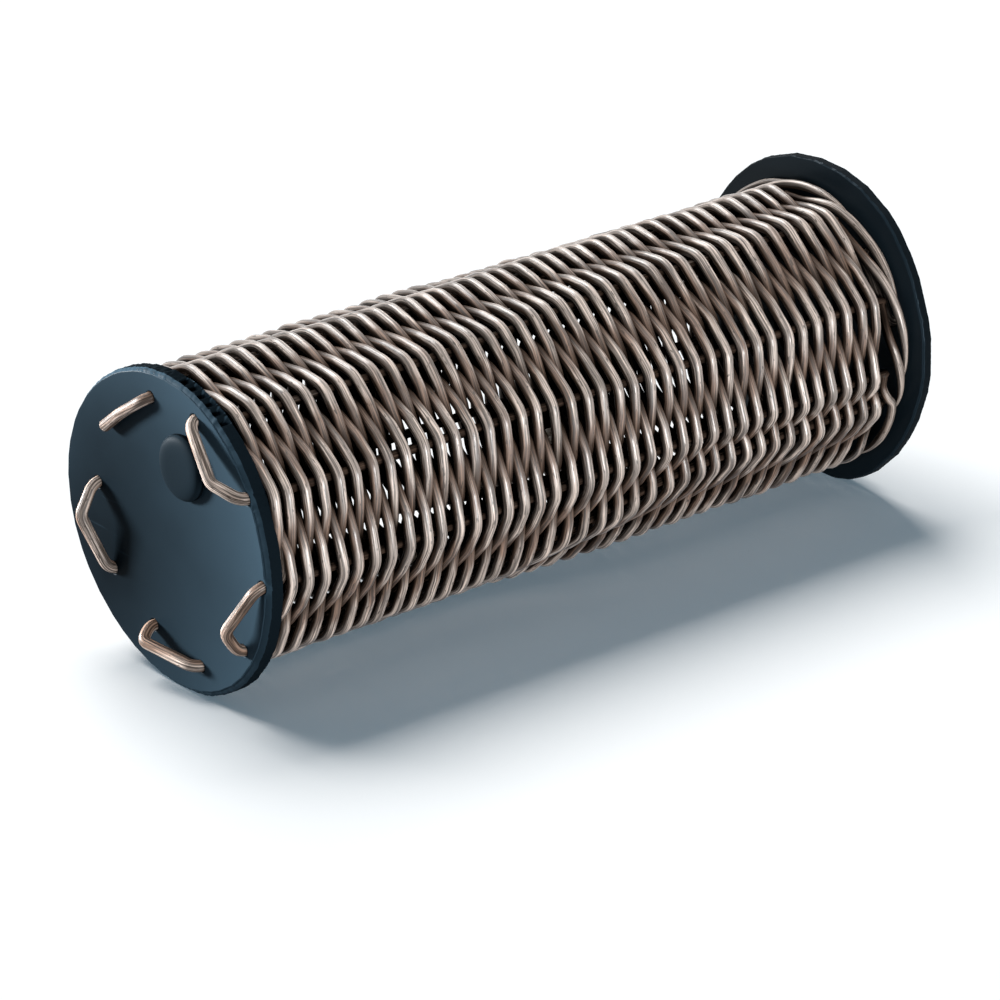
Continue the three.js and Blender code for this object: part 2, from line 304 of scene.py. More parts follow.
def stake_angle(step, x):
    """Angle of a stake at a place along the tube. A step between two stakes lies between their angles."""
    run = min(1.0, max(0.0, (x - STRAY_FROM) / (STRAY_TO - STRAY_FROM)))
    share = run * run * (3 - 2 * run)

    def stray(stake):
        front, rear = STAKE_STRAYS[stake % len(STAKE_STRAYS)]
        return math.radians(front + share * (rear - front))

    whole = math.floor(step)
    between_stakes = stray(whole) + (step - whole) * (stray(whole + 1) - stray(whole))
    return FIRST_STAKE + step * STAKE_PITCH + between_stakes


def rounded(corners, bend, bend_step=math.radians(10), longest_share=0.48):
    """Path through the corners, each rounded to about the radius of the bend."""
    path = [corners[0]]
    for before, corner, after in zip(corners, corners[1:], corners[2:]):
        back = before - corner
        onward = after - corner
        turn = math.pi - back.angle(onward)
        reach = min(bend * math.tan(turn / 2), longest_share * min(back.length, onward.length))
        start = corner + reach * back.normalized()
        end = corner + reach * onward.normalized()
        steps = max(2, round(turn / bend_step))
        for k in range(steps + 1):
            share = k / steps
            path.append(start.lerp(corner, share).lerp(corner.lerp(end, share), share))
    path.append(corners[-1])
    return path


def filled_in(path, spacing):
    """The path with more points on its long straight runs."""
    points = [path[0]]
    for start, end in zip(path, path[1:]):
        steps = max(1, math.ceil((end - start).length / spacing))
        points.extend(start.lerp(end, (k + 1) / steps) for k in range(steps))
    return points


def smooth_curve(points, steps=6):
    """Smooth path through the points."""
    first = 2 * points[0] - points[1]
    last = 2 * points[-1] - points[-2]
    padded = [first, *points, last]
    path = []
    for a, b, c, d in zip(padded, padded[1:], padded[2:], padded[3:]):
        for k in range(steps):
            share = k / steps
            ease = 0.5 * (2 * b + (c - a) * share + (2 * a - 5 * b + 4 * c - d) * share ** 2)
            path.append(ease + 0.5 * (3 * b - a - 3 * c + d) * share ** 3)
    path.append(points[-1])
    return path


# Making pieces


def add_piece(name, mesh, material, nodes, body=SHELL):
    piece = bpy.data.objects.new(name, mesh)
    bpy.context.scene.collection.objects.link(piece)
    mesh.materials.append(material)
    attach(piece, body)
    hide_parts(*nodes)


def mesh_from(bm, name, sharp=math.radians(35)):
    mesh = bpy.data.meshes.new(name)
    bm.to_mesh(mesh)
    bm.free()
    mesh.polygons.foreach_set("use_smooth", [True] * len(mesh.polygons))
    mesh.set_sharp_from_angle(angle=sharp)
    return mesh


def strand_mesh(name, points, diameter, seed, uneven, bevel_resolution=4, taper=0.0):
    """Round cane along the points, thinned over the taper at its end. Its UV runs along it in metres."""
    slow_swell, quick_swell = 60 * MM, 9 * MM
    tip = 0.25
    metres_apart = 7.3
    lengths = [0.0, *accumulate((end - start).length for start, end in zip(points, points[1:]))]
    curve = bpy.data.curves.new(name, "CURVE")
    curve.dimensions = "3D"
    curve.bevel_depth = diameter / 2
    curve.bevel_resolution = bevel_resolution
    curve.use_fill_caps = True
    spline = curve.splines.new("POLY")
    spline.points.add(len(points) - 1)
    for spot, point, length in zip(spline.points, points, lengths):
        spot.co = (*point, 1)
        slow = noise.noise(Vector((length / slow_swell, seed, 0)))
        quick = noise.noise(Vector((length / quick_swell, seed, 5)))
        spot.radius = 1 + uneven * (1.2 * slow + 0.8 * quick)
        if taper:
            spot.radius *= min(1.0, tip + (1 - tip) * (lengths[-1] - length) / taper)
    maker = bpy.data.objects.new(name, curve)
    mesh = bpy.data.meshes.new_from_object(maker)
    bpy.data.objects.remove(maker)
    bpy.data.curves.remove(curve)
    last = len(points) - 1
    for corner in mesh.uv_layers[0].uv:
        ring, turn = corner.vector
        corner.vector = (lengths[min(last, round(ring * last))] + metres_apart * seed, turn)
    bm = bmesh.new()
    bm.from_mesh(mesh)
    bmesh.ops.remove_doubles(bm, verts=bm.verts, dist=0.001 * MM)
    bm.to_mesh(mesh)
    bm.free()
    mesh.name = name
    mesh.set_sharp_from_angle(angle=math.radians(50))
    return mesh


# Materials


def add_node(tree, kind, inputs=None, **settings):
    made = tree.nodes.new(kind)
    for name, value in settings.items():
        setattr(made, name, value)
    for socket, value in (inputs or {}).items():
        if isinstance(value, bpy.types.NodeSocket):
            tree.links.new(value, made.inputs[socket])
        else:
            made.inputs[socket].default_value = value
    return made


def math_node(tree, operation, first, second=0.0, third=0.0):
    inputs = {0: first, 1: second, 2: third}
    return add_node(tree, "ShaderNodeMath", inputs, operation=operation).outputs[0]


def vector_node(tree, operation, first, second=(0.0, 0.0, 0.0)):
    return add_node(tree, "ShaderNodeVectorMath", {0: first, 1: second}, operation=operation)


def noise_node(tree, vector, scale, detail, roughness=0.5):
    inputs = {"Vector": vector, "Scale": scale, "Detail": detail, "Roughness": roughness}
    return add_node(tree, "ShaderNodeTexNoise", inputs).outputs["Fac"]


def between(tree, value, low, high, to_low=0.0, to_high=1.0):
    """The value's place from low to high, taken to a place from to_low to to_high."""
    inputs = {"Value": value, "From Min": low, "From Max": high, "To Min": to_low, "To Max": to_high}
    return add_node(tree, "ShaderNodeMapRange", inputs, interpolation_type="SMOOTHSTEP").outputs["Result"]


def mixed(tree, share, first, second, blend="MIX"):
    inputs = {"Factor": share, 6: first, 7: second}
    made = add_node(tree, "ShaderNodeMix", inputs, data_type="RGBA", blend_type=blend)
    return made.outputs[2]


def colour(values):
    return (*values, 1.0)


def new_material(name, **sockets):
    material = bpy.data.materials.new(name)
    material.use_nodes = True
    shader = material.node_tree.nodes["Principled BSDF"]
    for socket, value in sockets.items():
        shader.inputs[socket.replace("_", " ")].default_value = value
    return material, material.node_tree, shader


def from_axis(tree, coordinates):
    """Straight way out from the tube's axis, and its length."""
    centred = add_node(tree, "ShaderNodeMapping", {0: coordinates.outputs["Object"], 1: -AXIS})
    radial = vector_node(tree, "MULTIPLY", centred.outputs[0], (0.0, 1.0, 1.0)).outputs["Vector"]
    return radial, vector_node(tree, "LENGTH", radial).outputs["Value"]


def cane_material(name, cane, tone, bright, contrast, shiny=1.0, painted_shade_from=None):
    """Rattan with long fibres, dark streaks and specks, and painted shade inside a distance from the axis.
    """
    material, tree, shader = new_material(name, Coat_Roughness=0.25)
    coordinates = add_node(tree, "ShaderNodeTexCoord")
    parts = add_node(tree, "ShaderNodeSeparateXYZ", {0: coordinates.outputs["UV"]})
    along = parts.outputs["X"]
    turn = math_node(tree, "MULTIPLY", parts.outputs["Y"], 2 * math.pi)
    across = math_node(tree, "COSINE", turn)
    upright = math_node(tree, "SINE", turn)

    def grain(per_metre, fibres, detail, offset=0.0):
        """Noise with streaks along the strand."""
        inputs = {
            0: math_node(tree, "MULTIPLY_ADD", along, per_metre, offset),
            1: math_node(tree, "MULTIPLY", across, fibres),
            2: math_node(tree, "MULTIPLY", upright, fibres),
        }
        vector = add_node(tree, "ShaderNodeCombineXYZ", inputs).outputs[0]
        return noise_node(tree, vector, 1.0, detail)

    fibre = grain(80, 3.2, 4.0)
    fine = grain(150, 7.0, 3.0, 71)
    streaks = between(tree, grain(45, 2.4, 2.0, 17), 0.53, 0.62)
    specks = between(tree, grain(420, 2.4, 1.0, 31), 0.65, 0.72)
    tint = math_node(tree, "ADD", grain(30, 0.6, 3.0, 53), tone)
    if painted_shade_from:
        radial, depth = from_axis(tree, coordinates)
        straight_out = vector_node(tree, "NORMALIZE", radial).outputs["Vector"]
        normal = coordinates.outputs["Normal"]
        outward = vector_node(tree, "DOT_PRODUCT", straight_out, normal).outputs["Value"]
        # Painted shade and highlight: browner deeper in the weave, paler at the crests
        tint = math_node(tree, "ADD", tint, between(tree, depth, SHADE_TO_HIGHLIGHT_FROM, SHADE_TO_HIGHLIGHT_TO, -0.14, 0.16))
        painted_depth_shade = between(tree, depth, painted_shade_from, painted_shade_from + PAINTED_SHADE_WIDTH, 0.02, 1.0)
        # Painted shade on the sides of the strands, added to the painted shade deep in the weave
        painted_shade_factor = math_node(tree, "MULTIPLY", painted_depth_shade, between(tree, outward, 0.1, 0.85, 0.24, 1.08))
    else:
        # Painted shade: lacing is darker inside the tube
        place = add_node(tree, "ShaderNodeSeparateXYZ", {0: coordinates.outputs["Object"]}).outputs["X"]
        painted_shade_factor = between(tree, math_node(tree, "ABSOLUTE", place), LACE_FULLY_SHADED, LACE_UNSHADED, 0.22, 1.0)
    base = mixed(tree, between(tree, tint, 0.42, 0.6), colour(cane.brown), colour(cane.pale))
    lines = math_node(
        tree, "MULTIPLY",
        between(tree, fibre, 0.36, 0.64, 1 - 0.6 * contrast, 1 + 0.3 * contrast),
        between(tree, fine, 0.4, 0.6, 1 - 0.3 * contrast, 1 + 0.2 * contrast))
    shade = math_node(tree, "MULTIPLY", lines, math_node(tree, "MULTIPLY", painted_shade_factor, bright))
    base = mixed(tree, 1.0, base, shade, "MULTIPLY")
    streaked = math_node(tree, "MULTIPLY", streaks, min(1.0, 0.65 * contrast))
    base = mixed(tree, streaked, base, colour(cane.streak))
    base = mixed(tree, math_node(tree, "MULTIPLY", specks, 0.85), base, colour(cane.streak))
    tree.links.new(base, shader.inputs["Base Color"])
    # Gloss and coat fade with the painted shade
    shine = math_node(tree, "MULTIPLY", painted_shade_factor, painted_shade_factor)
    gloss = math_node(tree, "MULTIPLY", shine, 0.5 * bright * shiny)
    tree.links.new(gloss, shader.inputs["Specular IOR Level"])
    varnish = math_node(tree, "MULTIPLY", shine, 0.6 * bright * shiny)
    tree.links.new(varnish, shader.inputs["Coat Weight"])
    tree.links.new(between(tree, fibre, 0.3, 0.7, 0.55, 0.3), shader.inputs["Roughness"])
    relief = math_node(tree, "ADD", fibre, math_node(tree, "MULTIPLY", fine, 0.5))
    bump = add_node(tree, "ShaderNodeBump", {"Height": relief, "Strength": 0.7, "Distance": 0.3 * MM})
    tree.links.new(bump.outputs[0], shader.inputs["Normal"])
    return material


def disc_material(name, discs, roughness, gloss, shade=1.0, painted_edge_highlight=0.0):
    """Satin black sheet with faint scuffs, fine grain and hair scratches, a painted sheen and bevel
    highlight, and painted shade on the cut rim.
    """
    bluish = (0.6, 0.82, 1.0, 1.0)
    material, tree, shader = new_material(name, Specular_IOR_Level=gloss, Specular_Tint=bluish)
    coordinates = add_node(tree, "ShaderNodeTexCoord")
    spot = coordinates.outputs["Object"]
    radial, distance = from_axis(tree, coordinates)
    # Painted sheen: paler towards the near side, the top and the rim
    painted_sheen_direction = (0.0, -10.5, 5.0)
    painted_rim_sheen = 185.0
    painted_sheen_slope = vector_node(tree, "DOT_PRODUCT", radial, painted_sheen_direction).outputs["Value"]
    # Painted sheen that grows towards the rim
    outer = math_node(tree, "MULTIPLY", math_node(tree, "MULTIPLY", distance, distance), painted_rim_sheen)
    clouds = between(tree, noise_node(tree, spot, 24.0, 3.0), 0.2, 0.8, 0.11, 0.27)
    patches = math_node(tree, "ADD", clouds, math_node(tree, "ADD", painted_sheen_slope, outer))
    stretched = add_node(tree, "ShaderNodeMapping", {0: spot, 2: (0.3, 0.0, 0.0), 3: (1.0, 0.06, 1.0)})
    scratches = between(tree, noise_node(tree, stretched.outputs[0], 900.0, 2.0), 0.66, 0.74)
    grain = noise_node(tree, spot, 2600.0, 2.0)
    # Worn holds the scuffs and scratches, and with them the painted sheen and, below, the painted bevel
    # highlight
    worn = math_node(tree, "MAXIMUM", patches, math_node(tree, "MULTIPLY", scratches, 0.15))
    facing = add_node(tree, "ShaderNodeSeparateXYZ", {0: coordinates.outputs["Normal"]}).outputs["X"]
    flat = math_node(tree, "ABSOLUTE", facing)
    # Painted highlight along the bevel between the face and the rim
    edge = math_node(tree, "MULTIPLY", between(tree, flat, 0.25, 0.4), between(tree, flat, 0.8, 0.65))
    worn = math_node(tree, "ADD", worn, math_node(tree, "MULTIPLY", edge, painted_edge_highlight))
    black, scuff_and_sheen = [colour([shade * part for part in paint]) for paint in (discs.black, discs.scuff_and_sheen)]
    base = mixed(tree, worn, black, scuff_and_sheen)
    # Painted shade: faces that look sideways, such as the rim, the hole walls and the plug's edge, are
    # darker
    base = mixed(tree, 1.0, base, between(tree, flat, 0.2, 0.4, 0.22, 1.0), "MULTIPLY")
    tree.links.new(base, shader.inputs["Base Color"])
    satin = between(tree, patches, 0.0, 1.0, roughness, roughness + 0.12)
    rough = math_node(tree, "MAXIMUM", satin, between(tree, flat, 0.3, 0.6, 0.85, 0.0))
    tree.links.new(rough, shader.inputs["Roughness"])
    rise = math_node(tree, "SUBTRACT", grain, math_node(tree, "MULTIPLY", scratches, 0.4))
    bump = add_node(tree, "ShaderNodeBump", {"Height": rise, "Strength": 0.12, "Distance": 0.05 * MM})
    tree.links.new(bump.outputs[0], shader.inputs["Normal"])
    return material


def seed_material():
    """Smooth seed coat, mottled grey-brown."""
    material, tree, shader = new_material("seed_coat", Specular_IOR_Level=0.5, Roughness=0.3)
    spot = add_node(tree, "ShaderNodeTexCoord").outputs["Object"]
    mottle = between(tree, noise_node(tree, spot, 900.0, 4.0, 0.6), 0.35, 0.65)
    dark, pale = (0.12, 0.09, 0.07), (0.34, 0.29, 0.23)
    base = mixed(tree, mottle, colour(dark), colour(pale))
    tree.links.new(base, shader.inputs["Base Color"])
    bump = add_node(tree, "ShaderNodeBump", {"Height": mottle, "Strength": 0.1, "Distance": 0.1 * MM})
    tree.links.new(bump.outputs[0], shader.inputs["Normal"])
    return material


# Discs, plug and lacing


def rim_radius(radius, waves, angle):
    return radius + sum(
        height * MM * math.cos(count * (angle - math.radians(crest))) for count, height, crest in waves)


def front_spot(discs, degrees, edge):
    """Angle and radius of a spot on the front disc, given by its distance from the rim in mm."""
    angle = math.radians(degrees)
    return angle, rim_radius(discs.front_radius, FRONT_WAVES, angle) - edge * MM


def lace_hole(discs, angle, radius):
    """Place of a hole, from the middle of its disc, and its diameter."""
    return (radius * math.cos(angle), radius * math.sin(angle)), discs.hole_diameter


def knife_cuts(seed, shortest, longest):
    """Angles of the corners that a knife leaves on a hand-cut rim."""
    draw = random.Random(seed)
    angles = [0.0]
    while angles[-1] < 2 * math.pi - math.radians(longest):
        angles.append(angles[-1] + math.radians(draw.uniform(shortest, longest)))
    return angles


def cut_rim(radius, waves, cuts):
    """Rim made of straight knife cuts from corner to corner of the waved outline."""
    corners = [(angle, rim_radius(radius, waves, angle)) for angle in cuts]
    corners.append((corners[0][0] + 2 * math.pi, corners[0][1]))

    def rim(angle):
        angle %= 2 * math.pi
        for (start, start_radius), (end, end_radius) in zip(corners, corners[1:]):
            if start <= angle <= end:
                a = Vector((start_radius * math.cos(start), start_radius * math.sin(start)))
                b = Vector((end_radius * math.cos(end), end_radius * math.sin(end)))
                normal = Vector((b.y - a.y, a.x - b.x)).normalized()
                ray = Vector((math.cos(angle), math.sin(angle)))
                return a.dot(normal) / ray.dot(normal)
        return radius

    return rim


def tool_dents(angle, depth):
    """Depth of the row of dents that a cutting tool left on top of the front rim."""
    first_degrees, spacing, count = 93.1, 4.75, 6
    # Shares of the rim's thickness and of the spacing
    middle, half_width, half_length = 0.55, 0.3, 0.38
    deepest = 2.2 * MM
    row = (math.degrees(angle) - first_degrees) / spacing
    if not 0 < row < count:
        return 0.0
    across = max(0.0, 1 - ((depth - middle) / half_width) ** 6)
    along = max(0.0, 1 - ((row % 1 - 0.5) / half_length) ** 6)
    return deepest * across * along


def disc_mesh(name, rim, start_x, thickness, holes, marks, bevel, dents=False):
    """Cut sheet with holes, bevelled towards -X. A knife leaves marks of the given depth on its rim."""
    hole_margin = 0.3 * MM
    hole_sides = 24
    rim_sides = 720
    rim_rings = 9
    bevel_end = 0.2
    mark_length = 1.1 * MM
    edge_rounding = 0.25 * MM
    bm = bmesh.new()
    outline = bmesh.ops.create_circle(bm, segments=rim_sides, radius=1.0)["verts"]

    def inset(angle):
        """Width of the bevel, which is wider on the near side and narrower beside a hole."""
        edge = Vector((math.cos(angle), math.sin(angle))) * rim(angle)
        room = min((edge - Vector(place)).length - diameter / 2 for place, diameter in holes)
        return min(bevel * (0.6 - 0.4 * math.cos(angle)), room - hole_margin)

    for vert in outline:
        angle = math.atan2(vert.co.y, vert.co.x)
        vert.co *= rim(angle) - inset(angle)
    for (y, z), diameter in holes:
        place = Matrix.Translation((y, z, 0))
        bmesh.ops.create_circle(bm, segments=hole_sides, radius=diameter / 2, matrix=place)
    sheet = bmesh.ops.triangle_fill(bm, use_beauty=True, edges=bm.edges[:])
    faces = [item for item in sheet["geom"] if isinstance(item, bmesh.types.BMFace)]
    raised = bmesh.ops.extrude_face_region(bm, geom=faces)["geom"]
    lifted = [item for item in raised if isinstance(item, bmesh.types.BMVert)]
    bmesh.ops.translate(bm, verts=lifted, vec=(0, 0, thickness))
    bmesh.ops.recalc_face_normals(bm, faces=bm.faces)

    uprights = [e for e in bm.edges if abs(e.verts[0].co.z - e.verts[1].co.z) > thickness / 2]
    rim_uprights = []
    for edge in uprights:
        corner = edge.verts[0].co
        angle = math.atan2(corner.y, corner.x)
        if abs(rim(angle) - inset(angle) - corner.xy.length) < 0.02 * MM:
            rim_uprights.append(edge)
    rim_tops = {v for e in rim_uprights for v in e.verts}
    bmesh.ops.subdivide_edges(bm, edges=rim_uprights, cuts=rim_rings, use_grid_fill=True)
    for vert in bm.verts:
        depth = vert.co.z / thickness
        on_rim = 0.01 < depth < 0.99 or (depth > 0.99 and vert in rim_tops)
        if not on_rim:
            continue
        angle = math.atan2(vert.co.y, vert.co.x)
        push = inset(angle) * min(1.0, depth / bevel_end)
        if depth < 0.99:
            place = vert.co / mark_length
            ridge = noise.noise(Vector((place.x, place.y, 3 * depth))) + 0.6 * noise.noise(2.3 * place)
            push += marks * ridge - (tool_dents(angle, depth) if dents else 0.0)
        vert.co.xy *= 1 + push / vert.co.xy.length
    # The rim is flat where it rests on the floor
    for vert in bm.verts:
        vert.co.y = max(vert.co.y, -AXIS.z)
    sharp = [e for e in bm.edges if len(e.link_faces) == 2 and e.calc_face_angle() > math.radians(70)]
    flat_edges = [e for e in sharp if abs(e.verts[0].co.z - e.verts[1].co.z) < 0.1 * MM]
    bmesh.ops.bevel(
        bm, geom=flat_edges, offset=edge_rounding, segments=2, profile=0.5, affect="EDGES", material=-1)
    # The sheet's own x, y and depth become Y, Z and X
    turn = Matrix(((0, 0, 1, start_x), (1, 0, 0, AXIS.y), (0, 1, 0, AXIS.z), (0, 0, 0, 1)))
    bmesh.ops.transform(bm, matrix=turn, verts=bm.verts)
    mesh = mesh_from(bm, name)
    # Both faces are shaded flat
    for polygon in mesh.polygons:
        depths = [mesh.vertices[corner].co.x for corner in polygon.vertices]
        polygon.use_smooth = max(depths) - min(depths) > 0.001 * MM
    return mesh


class CAXIXI_OT_front_disc(bpy.types.Operator):
    """Cut the front disc, with its lace holes and plug hole"""

    bl_idname = "caxixi.front_disc"
    bl_label = "Front disc"

    def execute(self, context):
        discs = context.scene.caxixi_discs
        holes = []
        for number, (out, _, back) in enumerate(FRONT_STITCHES):
            # The lacing's first end stays outside, so it needs no hole
            for degrees, edge, _ in (out, back) if number else (back,):
                holes.append(lace_hole(discs, *front_spot(discs, degrees, edge)))
        plug = (PLUG_LOW + PLUG_HIGH) / 2 - AXIS
        holes.append(((plug.y, plug.z), PLUG_HOLE))
        rim = cut_rim(discs.front_radius, FRONT_WAVES, knife_cuts(seed=7, shortest=5, longest=11))
        thickness = FRONT_INSIDE - FRONT_FACE
        mesh = disc_mesh(
            "front_disc_sheet", rim, FRONT_FACE, thickness, holes,
            marks=0.2 * MM, bevel=discs.bevel, dents=True)
        material = disc_material("black_sheet_front", discs, roughness=0.36, gloss=0.012, painted_edge_highlight=0.5)
        add_piece("front_disc_sheet", mesh, material, ["front_disc"])
        return {"FINISHED"}


def rear_spots():
    """Angles of the rear stitches' holes, and the radius on which they lie."""
    starts = [REAR_START + 2 * math.pi * k / REAR_STITCHES for k in range(REAR_STITCHES)]
    return [(start, start + REAR_SPAN) for start in starts], STAKE_RADIUS - REAR_INSET


class CAXIXI_OT_rear_disc(bpy.types.Operator):
    """Cut the rear disc, with its lace holes"""

    bl_idname = "caxixi.rear_disc"
    bl_label = "Rear disc"

    def execute(self, context):
        discs = context.scene.caxixi_discs
        spans, radius = rear_spots()
        # The lacing's first end stays outside, so it needs no hole
        angles = [angle for span in spans for angle in span][1:]
        holes = [lace_hole(discs, angle, radius) for angle in angles]
        rim = cut_rim(discs.rear_radius, REAR_WAVES, knife_cuts(seed=12, shortest=6, longest=15))
        thickness = REAR_FACE - REAR_INSIDE
        mesh = disc_mesh(
            "rear_disc_sheet", rim, REAR_INSIDE, thickness, holes, marks=0.08 * MM, bevel=0.4 * MM)
        # The rear disc is the same sheet at 0.35 of its colour: painted shade
        material = disc_material("black_sheet_rear", discs, roughness=0.24, gloss=0.11, shade=0.35)
        add_piece("rear_disc_sheet", mesh, material, ["rear_disc"])
        return {"FINISHED"}


class CAXIXI_OT_fill_plug(bpy.types.Operator):
    """Turn the domed plug that closes the fill hole"""

    bl_idname = "caxixi.fill_plug"
    bl_label = "Fill plug"

    def execute(self, context):
        middle = (PLUG_LOW + PLUG_HIGH) / 2
        cap = (PLUG_HIGH.y - PLUG_LOW.y) / 2
        top = FRONT_FACE - PLUG_LOW.x
        stem = PLUG_STEM / 2
        inner = FRONT_FACE - FRONT_INSIDE
        profile = [(0, inner), (stem, inner), (stem, PLUG_SEAT), (cap, PLUG_SEAT)]
        dome_steps, sides = 14, 72
        edge_rounding = 0.3 * MM
        for k in range(dome_steps + 1):
            angle = math.pi / 2 * k / dome_steps
            radius = cap * max(0, math.cos(angle)) ** PLUG_FLATNESS
            profile.append((radius, PLUG_EDGE + (top - PLUG_EDGE) * math.sin(angle)))
        bm = bmesh.new()
        verts = [bm.verts.new((radius, 0, height)) for radius, height in profile]
        edges = [bm.edges.new(pair) for pair in zip(verts, verts[1:])]
        bmesh.ops.spin(
            bm, geom=verts + edges, axis=(0, 0, 1), cent=(0, 0, 0), dvec=(0, 0, 0),
            angle=2 * math.pi, steps=sides, use_merge=True)
        bmesh.ops.remove_doubles(bm, verts=bm.verts, dist=0.005 * MM)
        bmesh.ops.recalc_face_normals(bm, faces=bm.faces)
        rims = [e for e in bm.edges if len(e.link_faces) == 2 and e.calc_face_angle() > math.radians(50)]
        bmesh.ops.bevel(
            bm, geom=rims, offset=edge_rounding, segments=3, profile=0.5, affect="EDGES", material=-1)
        # The plug's own height points out of the front disc, towards -X
        turn = Matrix(((0, 0, -1, FRONT_FACE), (1, 0, 0, middle.y), (0, -1, 0, middle.z), (0, 0, 0, 1)))
        bmesh.ops.transform(bm, matrix=turn, verts=bm.verts)
        mesh = mesh_from(bm, "domed_plug")
        discs = context.scene.caxixi_discs
        material = disc_material("black_plug", discs, roughness=0.45, gloss=0.008, shade=0.47)
        add_piece("domed_plug", mesh, material, ["fill_plug"])
        return {"FINISHED"}


def lace_path(side_x, outward, stitches, gap):
    """Route of a lacing strand. A stitch is its points outside, as (angle, radius, lift)."""
    outside, inside = side_x

    def outer(point):
        angle, radius, lift = point
        return around(angle, radius, outside + outward * (gap + lift))

    def inner(angle, radius):
        return around(angle, radius, inside - outward * gap)

    corners = []
    for number, stitch in enumerate(stitches):
        if number:
            corners.append(inner(*stitch[0][:2]))
        corners.extend(outer(point) for point in stitch)
        back_angle, back_radius, _ = stitch[-1]
        corners.append(inner(back_angle, back_radius))
        last = number + 1 == len(stitches)
        next_angle, next_radius, _ = stitches[0][0] if last else stitches[number + 1][0]
        target = next_angle + 2 * math.pi - LACE_END_SPARE if last else next_angle
        for share in (1 / 3, 2 / 3, 1) if last else (1 / 3, 2 / 3):
            angle = back_angle + share * (target - back_angle)
            corners.append(inner(angle, back_radius + share * (next_radius - back_radius)))
    return corners


def add_lacing(cane, name, node, material_name, side_x, outward, stitches, seed):
    """Lay one strand of cane through the stitches of a disc."""
    gap = cane.lace_diameter / 2 + SHEET_CLEARANCE
    corners = lace_path(side_x, outward, stitches, gap)
    points = filled_in(rounded(corners, LACE_BEND), spacing=2 * MM)
    mesh = strand_mesh(name, points, cane.lace_diameter, seed, uneven=0.08, bevel_resolution=6)
    add_piece(name, mesh, cane_material(material_name, cane, **LACE_LOOK), [node])


class CAXIXI_OT_front_lacing(bpy.types.Operator):
    """Lace the front disc on with one strand of cane"""

    bl_idname = "caxixi.front_lacing"
    bl_label = "Front lacing"

    def execute(self, context):
        discs = context.scene.caxixi_discs
        stitches = [
            [(*front_spot(discs, degrees, edge), lift * MM) for degrees, edge, lift in stitch]
            for stitch in FRONT_STITCHES
        ]
        add_lacing(
            context.scene.caxixi_cane, "front_lace", "front_lacing", "lace_front",
            side_x=(FRONT_FACE, FRONT_INSIDE), outward=-1, stitches=stitches, seed=31)
        return {"FINISHED"}


class CAXIXI_OT_rear_lacing(bpy.types.Operator):
    """Lace the rear disc on with one strand of cane"""

    bl_idname = "caxixi.rear_lacing"
    bl_label = "Rear lacing"

    def execute(self, context):
        spans, radius = rear_spots()
        stitches = []
        for start, end in spans:
            high_point = ((start + end) / 2, radius, REAR_LIFT)
            stitches.append([(start, radius, 0), high_point, (end, radius, 0)])
        add_lacing(
            context.scene.caxixi_cane, "rear_lace", "rear_lacing", "lace_rear",
            side_x=(REAR_FACE, REAR_INSIDE), outward=1, stitches=stitches, seed=32)
        return {"FINISHED"}


# Basket and seeds


def last_step(cane):
    """Step from stake to stake at which the weaver ends, behind a stake."""
    return FIRST_STEP + 2 * round(cane.turns * len(STAKES) / 2)


def row_place(cane, step):
    """Place of the weaver along the tube. Its first and last turns are pressed together."""
    advance = cane.row_pitch / len(STAKES)
    pressed = last_step(cane) - LAST_TURNS * len(STAKES)
    run = FIRST_TURN_SHARE * min(0, step) + max(0, min(step, pressed))
    run += LAST_TURN_SHARE * max(0, step - pressed)
    return FRONT_INSIDE + cane.first_row + run * advance


class CAXIXI_OT_stakes(bpy.types.Operator):
    """Set the stakes along the tube, with their tails laid round into the rear border"""

    bl_idname = "caxixi.stakes"
    bl_label = "Stakes"

    def execute(self, context):
        cane = context.scene.caxixi_cane
        material = cane_material(
            "stake_cane", cane, tone=-0.04, bright=0.95, contrast=1.1, painted_shade_from=36.9 * MM)
        high = REAR_INSIDE - SHEET_CLEARANCE - cane.stake_diameter / 2
        last = last_step(cane)
        stations = 8
        bend_room = 1.5 * MM
        most_stray = 0.3
        for number, (name, end) in enumerate(zip(STAKES, STAKE_ENDS)):
            draw = random.Random(number)
            # The tail leaves just beyond the weaver's last pass over the stake
            last_row = row_place(cane, last - (last - number) % len(STAKES) + 0.5)
            low = last_row + (cane.weaver_diameter + cane.stake_diameter) / 2
            bend = low - bend_room
            corners = []
            for k in range(stations + 1):
                x = end.x + (bend - end.x) * k / stations
                corners.append(around(stake_angle(number, x), STAKE_RADIUS, x))
            stray = draw.uniform(-most_stray, most_stray) * MM
            for onward, rise, climb in BORDER_TAIL:
                x = low + climb * (high - low)
                radius = STAKE_RADIUS + rise * MM + stray
                corners.append(around(stake_angle(number + onward, x), radius, x))
            points = smooth_curve(corners)
            mesh = strand_mesh(
                f"cane_{name}", points, cane.stake_diameter, seed=number, uneven=0.06, taper=14 * MM)
            add_piece(f"cane_{name}", mesh, material, [name])
        return {"FINISHED"}


